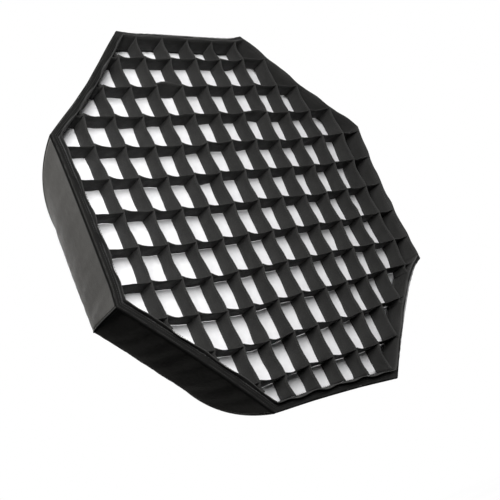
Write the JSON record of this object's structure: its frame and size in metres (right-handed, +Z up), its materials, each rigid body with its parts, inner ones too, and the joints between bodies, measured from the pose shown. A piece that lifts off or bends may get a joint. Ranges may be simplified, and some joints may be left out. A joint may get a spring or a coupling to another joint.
{
  "type": "octagonal softbox with honeycomb grid",
  "caption": "Eight-sided fabric softbox with a square-cell fabric light grid over a white diffuser, held open by bowed rods in a cast speed ring.",
  "frame": {"origin": "middle of the lamp adapter's bore, on its axis", "axes": "+Y along the bore towards the lamp head, light and grid face along -Y, +Z up"},
  "size_m": [0.9018, 0.5195, 0.9018],
  "materials": {
    "grid_nylon": "matte woven black nylon",
    "shell_nylon": "smooth coated black nylon",
    "trim_webbing": "black binding and webbing",
    "touch_tape": "black hook-and-loop tape",
    "diffuser_nylon": "white translucent nylon",
    "collar_elastic": "black ribbed elastic",
    "rod_fibreglass": "black pultruded rod",
    "tip_plastic": "moulded black plastic",
    "ring_cast_aluminium": "die-cast, tumbled, slightly grainy",
    "adapter_aluminium": "spun and bead-blasted",
    "screw_steel": "zinc-plated slotted screw"
  },
  "bodies": {
    "adapter": {"lamp_adapter": "adapter_aluminium"},
    "shell": {"speed_ring": "ring_cast_aluminium", "clamp_discs": "ring_cast_aluminium", "clamp_screws": "screw_steel", "rod_1": "rod_fibreglass", "rod_2": "rod_fibreglass", "rod_3": "rod_fibreglass", "rod_4": "rod_fibreglass", "rod_5": "rod_fibreglass", "rod_6": "rod_fibreglass", "rod_7": "rod_fibreglass", "rod_8": "rod_fibreglass", "rod_tips": "tip_plastic", "corner_pockets": "trim_webbing", "seam_piping": "trim_webbing", "shell_panel_1": "shell_nylon", "shell_panel_2": "shell_nylon", "shell_panel_3": "shell_nylon", "shell_panel_4": "shell_nylon", "shell_panel_5": "shell_nylon", "shell_panel_6": "shell_nylon", "shell_panel_7": "shell_nylon", "shell_panel_8": "shell_nylon", "rear_collar": "collar_elastic", "shell_lip": "shell_nylon", "lip_loop_tape": "touch_tape", "front_hem": "trim_webbing"},
    "diffuser": {"diffuser_cloth": "diffuser_nylon", "diffuser_hook_tape": "touch_tape"},
    "grid": {"grid_upright_01": "grid_nylon", "grid_upright_02": "grid_nylon", "grid_upright_03": "grid_nylon", "grid_upright_04": "grid_nylon", "grid_upright_05": "grid_nylon", "grid_upright_06": "grid_nylon", "grid_upright_07": "grid_nylon", "grid_upright_08": "grid_nylon", "grid_upright_09": "grid_nylon", "grid_upright_10": "grid_nylon", "grid_upright_11": "grid_nylon", "grid_cross_01": "grid_nylon", "grid_cross_02": "grid_nylon", "grid_cross_03": "grid_nylon", "grid_cross_04": "grid_nylon", "grid_cross_05": "grid_nylon", "grid_cross_06": "grid_nylon", "grid_cross_07": "grid_nylon", "grid_cross_08": "grid_nylon", "grid_cross_09": "grid_nylon", "grid_cross_10": "grid_nylon", "grid_cross_11": "grid_nylon", "grid_border": "grid_nylon", "grid_hook_tape": "touch_tape"}
  },
  "joints": [
    {"name": "ring_turn", "type": "hinge", "parent": "adapter", "child": "shell", "pos_m": [0, 0, 0], "axis": [0, 1, 0], "continuous": true},
    {"name": "diffuser_pull", "type": "slide", "parent": "shell", "child": "diffuser", "axis": [0, -1, 0], "range_m": [0, 0.15]},
    {"name": "grid_pull", "type": "slide", "parent": "diffuser", "child": "grid", "axis": [0, -1, 0], "range_m": [0, 0.15]}
  ]
}
